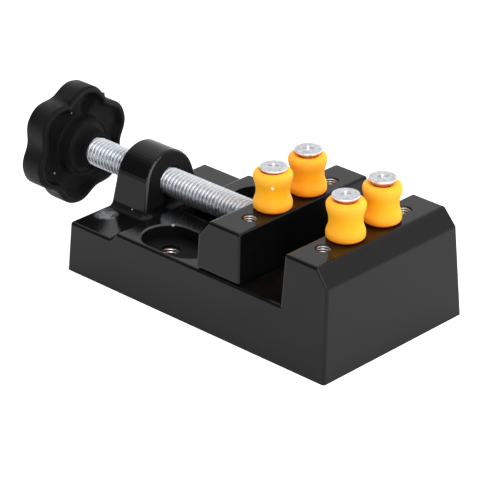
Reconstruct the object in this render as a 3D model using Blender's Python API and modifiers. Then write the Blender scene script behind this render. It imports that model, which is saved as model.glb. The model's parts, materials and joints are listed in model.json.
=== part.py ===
"""Small drill press vise with four clamping pegs.

A painted casting carries a screw post and a fixed jaw. A second casting, the
moving jaw, slides on its deck and is drawn along by a lead screw with a star
knob. Each jaw has a row of tapped holes on top for waisted plastic pegs.

X runs from the knob to the fixed jaw, Y across the jaws, Z up. The origin is
the middle of the whole footprint, on the bench. Lengths are in metres.
"""
import math

import bmesh
import bpy
from mathutils import Matrix, Vector

MM = 0.001

# Room between solids that touch, how deep a joined form is sunk in its neighbour,
# how far a cutter runs past the wall it opens, and how near points must lie to join
fit_gap = 0.3 * MM
bury = 0.4 * MM
overrun = 2.0 * MM
weld = 0.01 * MM

# Base casting: outline seen from the front
base_length = 110.0 * MM
base_width = 63.0 * MM
deck_height = 19.3 * MM
ledge_drop = 2.7 * MM
jaw_rise = 16.8 * MM
ledge_length = 17.8 * MM
trim_allowance = 1.5 * MM
ramp_radius = 3.0 * MM
ramp_crest_radius = 1.3 * MM
fixed_jaw_length = 19.1 * MM
fixed_jaw_top = 13.0 * MM
fixed_chamfer_drop = 5.4 * MM
end_draft_share = 0.038
side_draft_share = 0.072
jaw_draft_share = 0.035
cast_edge = 0.8 * MM

# Moving jaw
rest_opening = 17.15 * MM
moving_jaw_foot = 18.2 * MM
moving_jaw_width = 59.4 * MM
moving_chamfer_run = 4.2 * MM
moving_chamfer_drop = 5.4 * MM
moving_side_draft_share = 0.06

# Lead screw and its post
screw_clearance = 0.85 * MM
screw_radius = 4.8 * MM
post_top_radius = 10.4 * MM
post_top_length = 13.0 * MM
post_inset = 0.1 * MM
post_side_draft_share = 0.24
post_back_draft_share = 0.12
post_fillet = 2.0 * MM
post_edge = 1.0 * MM
nose_radius = 3.7 * MM
nose_length = 7.6 * MM
nose_groove_depth = 1.0 * MM
nose_chamfer = 0.6 * MM
seat_depth = 1.2 * MM
pin_radius = 1.25 * MM
pin_setback = 2.9 * MM
pin_chamfer = 0.3 * MM
pin_head_room = 2.4 * MM

# Star knob
knob_radius = 20.1 * MM
knob_lobe_depth = 2.5 * MM
knob_lobes = 6
knob_dip_power = 1.4
knob_phase = math.radians(11.7)
knob_thickness = 9.2 * MM
knob_edge = 1.3 * MM
knob_lip = 2.3 * MM
lip_slope = 1.0 * MM
knob_recess = 1.8 * MM
disc_radius = 10.3 * MM
disc_rise = 1.1 * MM
disc_edge = 0.5 * MM
disc_skirt = 0.6 * MM
boss_foot_radius = 8.7 * MM
boss_radius = 6.5 * MM
boss_height = 5.6 * MM
closed_hub_clearance = 1.0 * MM
dish_radius = 11.0 * MM
dish_floor_radius = 8.5 * MM
dish_depth = 1.2 * MM
anchor_flats = 15.0 * MM
anchor_thickness = 6.0 * MM
anchor_cover = 2.6 * MM

# Mounting pockets beside the screw
pocket_length = 26.7 * MM
pocket_width = 17.1 * MM
pocket_depth = 4.4 * MM
pocket_setback = 7.95 * MM
pocket_offset = 20.05 * MM
pocket_rim = 0.5 * MM
mount_hole_radius = 3.2 * MM
mount_hole_setback = 9.4 * MM
mount_boss_radius = 5.6 * MM
boss_recess = 0.4 * MM

# Guide under the moving jaw
tongue_width = 7.4 * MM
tongue_length = 9.0 * MM
tongue_setback = 1.2 * MM
deck_thickness = 3.0 * MM
plate_width = 13.4 * MM
plate_length = 11.6 * MM
plate_thickness = 2.0 * MM
plate_corner = 1.0 * MM
guide_screw_radius = 2.0 * MM
guide_screw_reach = 9.0 * MM
guide_head_radius = 4.0 * MM
guide_head_height = 2.6 * MM
washer_radius = 4.2 * MM
washer_thickness = 1.0 * MM
washer_split = 0.9 * MM

# Underside cores
core_wall = 3.0 * MM
core_rib = 2.0 * MM
core_cells = 6
jaw_core_cells = 4
jaw_core_setback = 2.1 * MM
jaw_core_roof = 13.6 * MM
pocket_floor = 3.0 * MM
core_taper_share = 0.03
moving_core_wall = 3.1 * MM
moving_core_roof = 6.1 * MM
moving_core_inner = 10.5 * MM
moving_boss_radius = 4.2 * MM

# Pegs and their screws
peg_inner_offset = 8.0 * MM
peg_outer_offset = 18.1 * MM
moving_peg_setback = 6.5 * MM
fixed_peg_setback = 6.15 * MM
peg_height = 12.55 * MM
peg_bottom_radius = 6.1 * MM
peg_top_radius = 5.95 * MM
peg_waist_radius = 5.15 * MM
peg_foot_round = 1.1 * MM
peg_crown_round = 1.65 * MM
peg_foot_level = 1.9 * MM
peg_waist_level = 6.1 * MM
peg_waist_power = 1.6
peg_dish_radius = 4.0 * MM
peg_dish_depth = 0.35 * MM
peg_mouth_radius = 3.25 * MM
tapped_radius = 2.3 * MM
tapped_mouth = 0.3 * MM
tapped_depth = 10.0 * MM
peg_screw_radius = 2.0 * MM
peg_head_radius = 4.1 * MM
peg_head_rim = 0.25 * MM
peg_head_dome = 0.25 * MM
peg_screw_reach = 7.0 * MM

# How far each peg screw stands above its seat; only the first is driven home
moving_front_lift = 0.0 * MM
moving_back_lift = 0.5 * MM
fixed_front_lift = 0.5 * MM
fixed_back_lift = 0.7 * MM

# Facets on round forms
fine_steps = 48
peg_steps = 24
small_steps = 24
pin_steps = 16
arc_points = 6
edge_points = 3

# Levels above the bench
ledge_height = deck_height - ledge_drop
jaw_height = deck_height + jaw_rise
screw_height = deck_height + screw_clearance + screw_radius
jaw_core_height = jaw_height - jaw_core_roof
moving_core_height = jaw_height - moving_core_roof

# Stations along the base, counted from the knob end of the casting
fixed_jaw_station = base_length - fixed_jaw_length
pocket_station = ledge_length + pocket_setback + pocket_length / 2
mount_hole_station = ledge_length + pocket_setback + mount_hole_setback
hub_station = -(rest_opening + closed_hub_clearance)
rim_station = hub_station - boss_height - disc_rise
knob_end_station = rim_station - knob_thickness
middle_station = (base_length + knob_end_station) / 2
moving_jaw_station = fixed_jaw_station - rest_opening
moving_back_station = moving_jaw_station - moving_jaw_foot
moving_foot_height = deck_height + fit_gap
seat_station = moving_back_station + seat_depth
pin_station = seat_station + pin_setback + pin_radius
moving_peg_station = moving_jaw_station - moving_peg_setback
fixed_peg_station = fixed_jaw_station + fixed_peg_setback
tongue_end_station = moving_jaw_station - tongue_setback
tongue_station = tongue_end_station - tongue_length / 2
slot_width = tongue_width + 2 * fit_gap
channel_width = plate_width + 2 * fit_gap
channel_top = deck_height - deck_thickness


def world(station, offset, height):
    """Point in the part's frame from a station on the base."""
    return Vector((station - middle_station, offset, height))


def post_front(height):
    """Station of the post's outer face, just behind the end of the casting."""
    return post_inset + end_draft_share * height


def post_back(height):
    """Station of the post's inner face, which leans towards the knob."""
    top = screw_height + post_top_radius
    return post_front(top) + post_top_length + post_back_draft_share * (top - height)


# Travel of the moving jaw either way: the pegs meet just before the jaws do,
# and the post stops it at full opening
peg_opening = fixed_peg_station - moving_peg_station - 2 * peg_bottom_radius
closing_travel = min(rest_opening, peg_opening) - fit_gap
opening_travel = moving_back_station - post_back(moving_foot_height) - fit_gap


def clear_scene():
    for thing in list(bpy.data.objects):
        bpy.data.objects.remove(thing, do_unlink=True)
    for group in list(bpy.data.collections):
        bpy.data.collections.remove(group)


def collection(name):
    group = bpy.data.collections.new(name)
    bpy.context.scene.collection.children.link(group)
    return group


def material(name, color, roughness, metallic):
    made = bpy.data.materials.new(name)
    made.use_nodes = True
    shader = made.node_tree.nodes["Principled BSDF"]
    shader.inputs["Base Color"].default_value = (*color, 1)
    shader.inputs["Roughness"].default_value = roughness
    shader.inputs["Metallic"].default_value = metallic
    made.diffuse_color = (*color, 1)
    return made


def place(name, mesh, group, finish=None, origin=None):
    """Object for a mesh made in the part's frame, its origin moved to a point."""
    if origin is not None:
        mesh.transform(Matrix.Translation(-origin))
    thing = bpy.data.objects.new(name, mesh)
    if origin is not None:
        thing.location = origin
    group.objects.link(thing)
    if finish is not None:
        mesh.materials.append(finish)
    return thing


def as_cutter(thing):
    thing.hide_render = True
    thing.display_type = "WIRE"
    return thing


def smooth(thing):
    thing.data.shade_smooth()
    thing.data.set_sharp_from_angle(angle=math.radians(32))


def mesh_from(bm, name):
    bmesh.ops.recalc_face_normals(bm, faces=bm.faces)
    mesh = bpy.data.meshes.new(name)
    bm.to_mesh(mesh)
    bm.free()
    return mesh


def boolean(thing, other, operation):
    step = thing.modifiers.new(f"{operation.lower()} {other.name}", "BOOLEAN")
    step.operation = operation
    step.object = other
    step.solver = "EXACT"


def soften(thing, width, segments):
    step = thing.modifiers.new("soft edges", "BEVEL")
    step.width = width
    step.segments = segments
    step.limit_method = "ANGLE"
    step.angle_limit = math.radians(28)
    step.use_clamp_overlap = True


def arc(centre, radius, start, end, count):
    """Points on an arc in a plane, both ends included, angles in degrees."""
    points = []
    for index in range(count + 1):
        angle = math.radians(start + (end - start) * index / count)
        points.append((centre[0] + radius * math.cos(angle), centre[1] + radius * math.sin(angle)))
    return points


def flat_solid(name, outline, half_depth):
    """Solid mesh of an outline in X and Z, extruded both ways along Y."""
    curve = bpy.data.curves.new(name, "CURVE")
    curve.dimensions = "2D"
    curve.fill_mode = "BOTH"
    curve.extrude = half_depth
    spline = curve.splines.new("POLY")
    spline.points.add(len(outline) - 1)
    for point, (across, up) in zip(spline.points, outline):
        point.co = (across, up, 0, 1)
    spline.use_cyclic_u = True
    holder = bpy.data.objects.new(name, curve)
    bpy.context.scene.collection.objects.link(holder)
    graph = bpy.context.evaluated_depsgraph_get()
    flat = bpy.data.meshes.new_from_object(holder.evaluated_get(graph))
    bpy.data.objects.remove(holder, do_unlink=True)
    bm = bmesh.new()
    bm.from_mesh(flat)
    bmesh.ops.remove_doubles(bm, verts=bm.verts, dist=weld)
    bmesh.ops.dissolve_limit(bm, angle_limit=math.radians(1), verts=bm.verts, edges=bm.edges)
    bmesh.ops.transform(bm, matrix=Matrix.Rotation(math.pi / 2, 4, "X"), verts=bm.verts)
    return mesh_from(bm, name)


def lean_sides(mesh, share, level):
    """Draw the Y faces in towards the top, as a mould's draft does."""
    for vertex in mesh.vertices:
        inward = share * (vertex.co.z - level)
        vertex.co.y -= inward if vertex.co.y > 0 else -inward


def turned(name, profile, origin, axis, steps, group, finish=None):
    """Turned solid: profile of (radius, height) pairs, spun about an axis."""
    mesh = bpy.data.meshes.new(name)
    points = [(radius, 0, height) for radius, height in profile]
    edges = [(index, index + 1) for index in range(len(points) - 1)]
    if profile[0][0] > 0:
        edges.append((len(points) - 1, 0))
    mesh.from_pydata(points, edges, [])
    thing = bpy.data.objects.new(name, mesh)
    group.objects.link(thing)
    thing.location = origin
    thing.rotation_mode = "QUATERNION"
    thing.rotation_quaternion = Vector((0, 0, 1)).rotation_difference(axis)
    spin = thing.modifiers.new("turned", "SCREW")
    spin.axis = "Z"
    spin.angle = math.tau
    spin.steps = steps
    spin.render_steps = steps
    spin.use_merge_vertices = True
    spin.merge_threshold = weld
    spin.use_smooth_shade = True
    if finish is not None:
        mesh.materials.append(finish)
    return thing


def rod(name, start, end, radius, steps, group):
    """Plain cylinder cutter between two points."""
    bm = bmesh.new()
    run = end - start
    bmesh.ops.create_cone(
        bm, cap_ends=True, segments=steps, radius1=radius, radius2=radius, depth=run.length
    )
    turn = Vector((0, 0, 1)).rotation_difference(run).to_matrix().to_4x4()
    bmesh.ops.transform(bm, matrix=Matrix.Translation((start + end) / 2) @ turn, verts=bm.verts)
    return as_cutter(place(name, mesh_from(bm, name), group))


def add_box(bm, low, high, taper=0.0):
    """Box between two corners; its top is drawn in by taper on every side."""
    made = bmesh.ops.create_cube(bm, size=1)["verts"]
    for vertex in made:
        is_top = vertex.co.z > 0
        for axis in range(3):
            vertex.co[axis] = high[axis] if vertex.co[axis] > 0 else low[axis]
        if is_top and taper:
            vertex.co.x -= math.copysign(taper, vertex.co.x - (low[0] + high[0]) / 2)
            vertex.co.y -= math.copysign(taper, vertex.co.y - (low[1] + high[1]) / 2)


def boxes(name, spans, group, taper_share=0.0):
    """One cutter of several boxes, each a pair of corners."""
    bm = bmesh.new()
    for low, high in spans:
        add_box(bm, low, high, taper_share * (high.z - low.z))
    return as_cutter(place(name, mesh_from(bm, name), group))


def slot_outline(length, width, count):
    """Outline with two straight sides and round ends, along X."""
    half = (length - width) / 2
    right = arc((half, 0), width / 2, -90, 90, count)
    left = arc((-half, 0), width / 2, 90, 270, count)
    return right + left


def loft(name, rings):
    """Closed solid through rings of equal count, capped at both ends."""
    bm = bmesh.new()
    rows = [[bm.verts.new(point) for point in ring] for ring in rings]
    count = len(rows[0])
    for lower, upper in zip(rows, rows[1:]):
        for index in range(count):
            following = (index + 1) % count
            bm.faces.new((lower[index], lower[following], upper[following], upper[index]))
    bm.faces.new(rows[0])
    bm.faces.new(rows[-1])
    return mesh_from(bm, name)


def base_outline():
    """Front view of the casting: ledge, ramp, deck, fixed jaw with its chamfer."""
    reach = ramp_radius + ramp_crest_radius
    drop = reach - (deck_height - ledge_height)
    run = math.sqrt(reach ** 2 - drop ** 2)
    meet = math.degrees(math.atan2(drop, run))
    crest_centre = (ledge_length + run, deck_height - ramp_crest_radius)
    ramp_centre = (ledge_length, ledge_height + ramp_radius)
    chamfer_foot = jaw_height - fixed_chamfer_drop
    jaw_lean = jaw_draft_share * (jaw_height - deck_height)
    flare = end_draft_share * trim_allowance
    outline = [
        (-flare, -trim_allowance),
        (base_length + flare, -trim_allowance),
        (base_length - end_draft_share * chamfer_foot, chamfer_foot),
        (fixed_jaw_station + jaw_lean + fixed_jaw_top, jaw_height),
        (fixed_jaw_station + jaw_lean, jaw_height),
        (fixed_jaw_station, deck_height),
    ]
    outline += arc(crest_centre, ramp_crest_radius, 90, 180 - meet, arc_points)
    outline += arc(ramp_centre, ramp_radius, -meet, -90, arc_points)[1:]
    outline.append((end_draft_share * ledge_height, ledge_height))
    return [(station - middle_station, height) for station, height in outline]


def post_half_width(height):
    """Half width of the post's straight sides, which lean inwards."""
    lean = math.atan(post_side_draft_share)
    tangent_height = screw_height + post_top_radius * math.sin(lean)
    return post_top_radius * math.cos(lean) + post_side_draft_share * (tangent_height - height)


def post_mesh():
    """Screw post: round top on leaning sides, its soft foot sunk in the ledge."""
    foot = ledge_height - bury - post_edge
    lean = math.degrees(math.atan(post_side_draft_share))
    side = arc((0, screw_height), post_top_radius, 90, lean, 2 * arc_points)
    side.append((post_half_width(foot), foot))
    ring = [(-offset, height) for offset, height in reversed(side)] + side[1:]
    front = [world(post_front(height), offset, height) for offset, height in ring]
    back = [world(post_back(height), offset, height) for offset, height in ring]
    return loft("post", [front, back])


def post_skirt():
    """Hollow fillet round the post's foot, on both sides and the inner face."""
    front = post_front(ledge_height) + cast_edge
    top = ledge_height + post_fillet
    levels = [(ledge_height - bury, post_fillet)]
    for flare, height in arc((post_fillet, top), post_fillet, 260, 188, arc_points):
        levels.append((height, flare))
    levels.append((top, -bury))
    rings = []
    for height, flare in levels:
        half = post_half_width(height) + flare
        back = post_back(height) + flare
        corner = post_fillet + flare
        right = arc((back - corner, half - corner), corner, 90, 0, arc_points)
        left = arc((back - corner, corner - half), corner, 0, -90, arc_points)
        ring = [(front, half)] + right + left + [(front, -half)]
        rings.append([world(station, offset, height) for station, offset in ring])
    return loft("post skirt", rings)


def obround_cutter(name, station, offset, group):
    """Pocket with a softened rim, sunk in the deck from above."""
    levels = [
        (0, deck_height - pocket_depth),
        (0, deck_height - pocket_rim),
        (pocket_rim + overrun, deck_height + overrun),
    ]
    rings = []
    for grow, height in levels:
        outline = slot_outline(pocket_length + 2 * grow, pocket_width + 2 * grow, 2 * arc_points)
        rings.append([
            world(station + along, offset + across, height) for along, across in outline
        ])
    return as_cutter(place(name, loft(name, rings), group))


def channel_start():
    return tongue_station - opening_travel - plate_length / 2 - fit_gap


def core_spans():
    """Hollows cast into the underside, with ribs left between them."""
    low = -overrun
    half = base_width / 2
    outer = half - core_wall
    floor_top = deck_height - pocket_depth - pocket_floor
    jaw_start = fixed_jaw_station + jaw_core_setback
    side_run = jaw_start - core_rib - core_wall
    cell = (side_run - core_rib * (core_cells - 1)) / core_cells
    inner = channel_width / 2 + core_rib
    spans = []
    for index in range(core_cells):
        start = core_wall + index * (cell + core_rib)
        for side in (-1, 1):
            near, far = sorted((side * inner, side * outer))
            spans.append((world(start, near, low), world(start + cell, far, floor_top)))
    spans.append((
        world(core_wall, -channel_width / 2, low),
        world(channel_start() - core_rib, channel_width / 2, floor_top),
    ))
    row = (2 * outer - core_rib * (jaw_core_cells - 1)) / jaw_core_cells
    for index in range(jaw_core_cells):
        near = -outer + index * (row + core_rib)
        spans.append((
            world(jaw_start, near, low),
            world(base_length - core_wall, near + row, jaw_core_height),
        ))
    return spans


def tapped_hole(name, station, offset, group):
    """Blind hole with a chamfered mouth, from a jaw's top."""
    profile = [
        (0, jaw_height + overrun),
        (tapped_radius + tapped_mouth + overrun, jaw_height + overrun),
        (tapped_radius, jaw_height - tapped_mouth),
        (tapped_radius, jaw_height - tapped_depth),
        (0, jaw_height - tapped_depth - tapped_radius / 2),
    ]
    origin = world(station, offset, 0)
    return as_cutter(turned(name, profile, origin, Vector((0, 0, 1)), small_steps, group))


def build_base(parts, cutters, paint):
    mesh = flat_solid("base", base_outline(), base_width / 2)
    lean_sides(mesh, side_draft_share, 0)
    base = place("base", mesh, parts, paint)
    soften(base, cast_edge, edge_points)

    post = as_cutter(place("post form", post_mesh(), cutters))
    soften(post, post_edge, edge_points)
    skirt = as_cutter(place("post skirt form", post_skirt(), cutters))
    boolean(post, skirt, "UNION")
    boolean(base, post, "UNION")

    for side, label in ((-1, "front"), (1, "back")):
        pocket = obround_cutter(f"{label} pocket cut", pocket_station, side * pocket_offset, cutters)
        boolean(base, pocket, "DIFFERENCE")

    # The casting is trimmed flat and sharp at the bench
    trim = boxes("foot trim", [(
        world(-overrun, -base_width, -trim_allowance - overrun),
        world(base_length + overrun, base_width, 0),
    )], cutters)
    boolean(base, trim, "DIFFERENCE")
    cores = boxes("underside cores", core_spans(), cutters, core_taper_share)
    boolean(base, cores, "DIFFERENCE")

    # Guide slot through the deck and the wider channel below it
    reach = plate_length / 2 + fit_gap
    channel = boxes("guide channel cut", [(
        world(channel_start(), -channel_width / 2, -overrun),
        world(tongue_station + closing_travel + reach, channel_width / 2, channel_top),
    )], cutters)
    boolean(base, channel, "DIFFERENCE")
    reach = tongue_length / 2 + fit_gap
    slot = boxes("guide slot cut", [(
        world(tongue_station - opening_travel - reach, -slot_width / 2, channel_top - overrun),
        world(tongue_station + closing_travel + reach, slot_width / 2, deck_height + overrun),
    )], cutters)
    boolean(base, slot, "DIFFERENCE")

    boss_top = deck_height - pocket_depth - pocket_floor / 2
    for side, label in ((-1, "front"), (1, "back")):
        offset = side * pocket_offset
        boss = rod(
            f"{label} mounting boss", world(mount_hole_station, offset, boss_recess),
            world(mount_hole_station, offset, boss_top), mount_boss_radius, small_steps, cutters
        )
        boolean(base, boss, "UNION")
        hole = rod(
            f"{label} mounting hole", world(mount_hole_station, offset, -overrun),
            world(mount_hole_station, offset, deck_height), mount_hole_radius, small_steps, cutters
        )
        boolean(base, hole, "DIFFERENCE")

    bore = rod(
        "screw bore", world(-overrun, 0, screw_height),
        world(post_back(ledge_height) + overrun, 0, screw_height),
        screw_radius + fit_gap, fine_steps, cutters
    )
    boolean(base, bore, "DIFFERENCE")
    for index, offset in enumerate(peg_rows()):
        hole = tapped_hole(f"fixed jaw hole {index + 1}", fixed_peg_station, offset, cutters)
        boolean(base, hole, "DIFFERENCE")
    return base


def peg_rows():
    return (-peg_outer_offset, -peg_inner_offset, peg_inner_offset, peg_outer_offset)


def moving_jaw_outline():
    """Front view of the moving jaw, chamfered along its outer top edge."""
    rise = jaw_height - moving_foot_height
    lean = jaw_draft_share * rise
    chamfer_foot = rise - moving_chamfer_drop
    outline = [
        (moving_back_station, moving_foot_height),
        (moving_jaw_station, moving_foot_height),
        (moving_jaw_station - lean, jaw_height),
        (moving_back_station + lean + moving_chamfer_run, jaw_height),
        (moving_back_station + jaw_draft_share * chamfer_foot, moving_foot_height + chamfer_foot),
    ]
    return [(station - middle_station, height) for station, height in outline]


def build_moving_jaw(parts, cutters, paint):
    mesh = flat_solid("moving_jaw", moving_jaw_outline(), moving_jaw_width / 2)
    lean_sides(mesh, moving_side_draft_share, moving_foot_height)
    origin = world(moving_jaw_station, 0, deck_height)
    jaw = place("moving_jaw", mesh, parts, paint, origin)
    soften(jaw, cast_edge, edge_points)

    # Hollows cast into its underside, either side of the lead screw
    spans = []
    half = moving_jaw_width / 2 - moving_core_wall
    for side in (-1, 1):
        near, far = sorted((side * moving_core_inner, side * half))
        spans.append((
            world(moving_back_station + moving_core_wall, near, moving_foot_height - overrun),
            world(moving_jaw_station - moving_core_wall, far, moving_core_height),
        ))
    boolean(jaw, boxes("moving jaw cores", spans, cutters, core_taper_share), "DIFFERENCE")
    for side, label in ((-1, "front"), (1, "back")):
        boss = rod(
            f"{label} jaw boss",
            world(moving_peg_station, side * peg_outer_offset, moving_foot_height + bury),
            world(moving_peg_station, side * peg_outer_offset, moving_core_height + bury),
            moving_boss_radius, small_steps, cutters
        )
        boolean(jaw, boss, "UNION")

    tongue = boxes("tongue form", [(
        world(tongue_end_station - tongue_length, -tongue_width / 2, channel_top - fit_gap),
        world(tongue_end_station, tongue_width / 2, moving_foot_height + bury),
    )], cutters)
    boolean(jaw, tongue, "UNION")

    seat = rod(
        "screw seat cut", world(moving_back_station - overrun, 0, screw_height),
        world(seat_station, 0, screw_height), screw_radius + fit_gap, fine_steps, cutters
    )
    boolean(jaw, seat, "DIFFERENCE")
    nose = rod(
        "screw nose cut", world(moving_back_station, 0, screw_height),
        world(seat_station + nose_length + fit_gap, 0, screw_height),
        nose_radius + fit_gap, small_steps, cutters
    )
    boolean(jaw, nose, "DIFFERENCE")
    for side, label in ((-1, "front"), (1, "back")):
        hole = rod(
            f"{label} pin hole", world(pin_station, side * pin_offset(), channel_top - overrun),
            world(pin_station, side * pin_offset(), pin_top() + fit_gap),
            pin_radius + fit_gap, pin_steps, cutters
        )
        boolean(jaw, hole, "DIFFERENCE")

    screw_hole = rod(
        "guide screw hole", world(tongue_station, 0, channel_top - overrun),
        world(tongue_station, 0, channel_top + guide_screw_reach + fit_gap),
        guide_screw_radius + fit_gap, small_steps, cutters
    )
    boolean(jaw, screw_hole, "DIFFERENCE")
    for index, offset in enumerate(peg_rows()):
        hole = tapped_hole(f"moving jaw hole {index + 1}", moving_peg_station, offset, cutters)
        boolean(jaw, hole, "DIFFERENCE")
    return jaw


def pin_offset():
    """Pins stand either side of the nose, just inside its groove."""
    return nose_radius - nose_groove_depth + fit_gap + pin_radius


def pin_top():
    return screw_height + nose_radius + pin_head_room


def build_pins(parts, steel):
    bottom = moving_foot_height + fit_gap
    for side, label in ((-1, "front"), (1, "back")):
        profile = [
            (0, pin_top()),
            (pin_radius - pin_chamfer, pin_top()),
            (pin_radius, pin_top() - pin_chamfer),
            (pin_radius, bottom + pin_chamfer),
            (pin_radius - pin_chamfer, bottom),
            (0, bottom),
        ]
        origin = world(pin_station, side * pin_offset(), 0)
        turned(f"retaining_pin_{label}", profile, origin, Vector((0, 0, 1)), pin_steps, parts, steel)


def build_guide(parts, cutters, steel):
    """Plate, spring washer and screw that hold the jaw down from below."""
    top = channel_top - 2 * fit_gap
    bottom = top - plate_thickness
    bm = bmesh.new()
    low = world(tongue_station - plate_length / 2, -plate_width / 2, bottom)
    high = world(tongue_station + plate_length / 2, plate_width / 2, top)
    add_box(bm, low, high)
    corners = []
    for edge in bm.edges:
        if abs(edge.verts[0].co.z - edge.verts[1].co.z) > plate_thickness / 2:
            corners.append(edge)
    bmesh.ops.bevel(
        bm, geom=corners, offset=plate_corner, segments=edge_points, affect="EDGES", profile=0.5
    )
    centre = world(tongue_station, 0, 0)
    seat = world(tongue_station, 0, bottom)
    plate = place("guide_plate", mesh_from(bm, "guide_plate"), parts, steel, seat)
    hole = rod(
        "guide plate hole", centre + Vector((0, 0, bottom - overrun)),
        centre + Vector((0, 0, top + overrun)), guide_screw_radius + fit_gap, small_steps, cutters
    )
    boolean(plate, hole, "DIFFERENCE")

    washer_top = bottom - fit_gap
    washer_bottom = washer_top - washer_thickness
    inner = guide_screw_radius + fit_gap
    ring = [
        (inner, washer_top),
        (washer_radius, washer_top),
        (washer_radius, washer_bottom),
        (inner, washer_bottom),
    ]
    washer = turned("spring_washer", ring, centre, Vector((0, 0, 1)), small_steps, parts, steel)
    split = boxes("washer split cut", [(
        world(tongue_station, -washer_split / 2, washer_bottom - overrun),
        world(tongue_station + washer_radius + overrun, washer_split / 2, washer_top + overrun),
    )], cutters)
    boolean(washer, split, "DIFFERENCE")

    head_top = washer_bottom - fit_gap
    head_bottom = head_top - guide_head_height
    dome = guide_head_height / 2
    profile = [
        (0, channel_top + guide_screw_reach),
        (guide_screw_radius, channel_top + guide_screw_reach),
        (guide_screw_radius, head_top),
        (guide_head_radius, head_top),
        (guide_head_radius, head_bottom + dome),
        (guide_head_radius - dome / 2, head_bottom + dome / 3),
        (guide_head_radius / 2, head_bottom),
        (0, head_bottom),
    ]
    turned("guide_screw", profile, centre, Vector((0, 0, 1)), small_steps, parts, steel)


def build_lead_screw(parts, cutters, zinc):
    """Screw from its hexagon in the knob to the grooved nose in the jaw."""
    head = anchor_station() - anchor_thickness
    shoulder = seat_station - fit_gap
    tip = seat_station + nose_length
    groove = pin_radius + fit_gap
    groove_radius = nose_radius - nose_groove_depth
    chamfer = screw_radius - nose_radius
    stations = [
        (tip, 0),
        (tip, nose_radius - nose_chamfer),
        (tip - nose_chamfer, nose_radius),
        (pin_station + groove, nose_radius),
        (pin_station + groove, groove_radius),
        (pin_station - groove, groove_radius),
        (pin_station - groove, nose_radius),
        (shoulder, nose_radius),
        (shoulder - chamfer, screw_radius),
        (anchor_station() - fit_gap, screw_radius),
        (anchor_station() - fit_gap, 0),
    ]
    profile = [(radius, station - stations[-1][0]) for station, radius in stations]
    origin = world(stations[-1][0], 0, screw_height)
    screw = turned("lead_screw", profile, origin, Vector((1, 0, 0)), fine_steps, parts, zinc)
    bm = bmesh.new()
    bmesh.ops.create_cone(
        bm, cap_ends=True, segments=6, radius1=anchor_flats / math.sqrt(3),
        radius2=anchor_flats / math.sqrt(3), depth=anchor_thickness
    )
    place_anchor = Matrix.Translation(world(head + anchor_thickness / 2, 0, screw_height))
    bmesh.ops.transform(bm, matrix=place_anchor @ Matrix.Rotation(math.pi / 2, 4, "Y"), verts=bm.verts)
    anchor = as_cutter(place("screw head form", mesh_from(bm, "screw head form"), cutters))
    boolean(screw, anchor, "UNION")
    return screw


def anchor_station():
    """Inner face of the screw's hexagon, buried in the knob."""
    return knob_end_station + anchor_cover + anchor_thickness


def lobe_ring(station, inset):
    """Ring of the star outline: broad lobes with narrower dips between them."""
    ring = []
    count = 12 * knob_lobes
    for index in range(count):
        angle = math.tau * index / count
        wave = (1 - math.cos(knob_lobes * (angle - knob_phase))) / 2
        radius = knob_radius - inset - knob_lobe_depth * wave ** knob_dip_power
        ring.append(world(station, radius * math.sin(angle), screw_height + radius * math.cos(angle)))
    return ring


def round_ring(station, radius):
    """Plain circle about the screw, with as many points as the star outline."""
    ring = []
    count = 12 * knob_lobes
    for index in range(count):
        angle = math.tau * index / count
        ring.append(world(station, radius * math.sin(angle), screw_height + radius * math.cos(angle)))
    return ring


def build_knob(parts, cutters, plastic):
    """Moulded star knob: lobed rim, lip round a recess, disc and coned boss."""
    outer = knob_end_station
    rim = rim_station
    floor = rim - knob_recess
    disc = rim + disc_rise
    rings = [
        round_ring(outer + dish_depth, dish_floor_radius),
        round_ring(outer, dish_radius),
    ]
    for inset, setback in arc((knob_edge, knob_edge), knob_edge, 270, 180, edge_points):
        rings.append(lobe_ring(outer + setback, inset))
    for inset, setback in arc((knob_edge, knob_edge), knob_edge, 180, 270, edge_points):
        rings.append(lobe_ring(rim - setback, inset))
    rings += [
        lobe_ring(rim - disc_edge / 3, knob_lip),
        lobe_ring(floor, knob_lip + lip_slope),
        round_ring(floor, disc_radius + disc_skirt),
        round_ring(disc - disc_edge, disc_radius),
        round_ring(disc, disc_radius - disc_edge),
    ]
    count = edge_points + 1
    for index in range(count + 1):
        share = index / count
        station = disc + boss_height * share ** 2
        radius = boss_radius + (boss_foot_radius - boss_radius) * (1 - share) ** 2
        rings.append(round_ring(station, radius))
    origin = world(rim_station, 0, screw_height)
    knob = place("star_knob", loft("star_knob", rings), parts, plastic, origin)
    bore = rod(
        "knob bore", world(anchor_station() - anchor_thickness / 2, 0, screw_height),
        world(hub_station + overrun, 0, screw_height), screw_radius + fit_gap, fine_steps, cutters
    )
    bm = bmesh.new()
    reach = anchor_thickness + 2 * fit_gap
    radius = (anchor_flats + 2 * fit_gap) / math.sqrt(3)
    bmesh.ops.create_cone(bm, cap_ends=True, segments=6, radius1=radius, radius2=radius, depth=reach)
    centre = world(anchor_station() - anchor_thickness / 2, 0, screw_height)
    turn = Matrix.Rotation(math.pi / 2, 4, "Y")
    bmesh.ops.transform(bm, matrix=Matrix.Translation(centre) @ turn, verts=bm.verts)
    nest = as_cutter(place("knob hexagon nest", mesh_from(bm, "knob hexagon nest"), cutters))
    boolean(knob, bore, "DIFFERENCE")
    boolean(knob, nest, "DIFFERENCE")
    return knob


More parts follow.
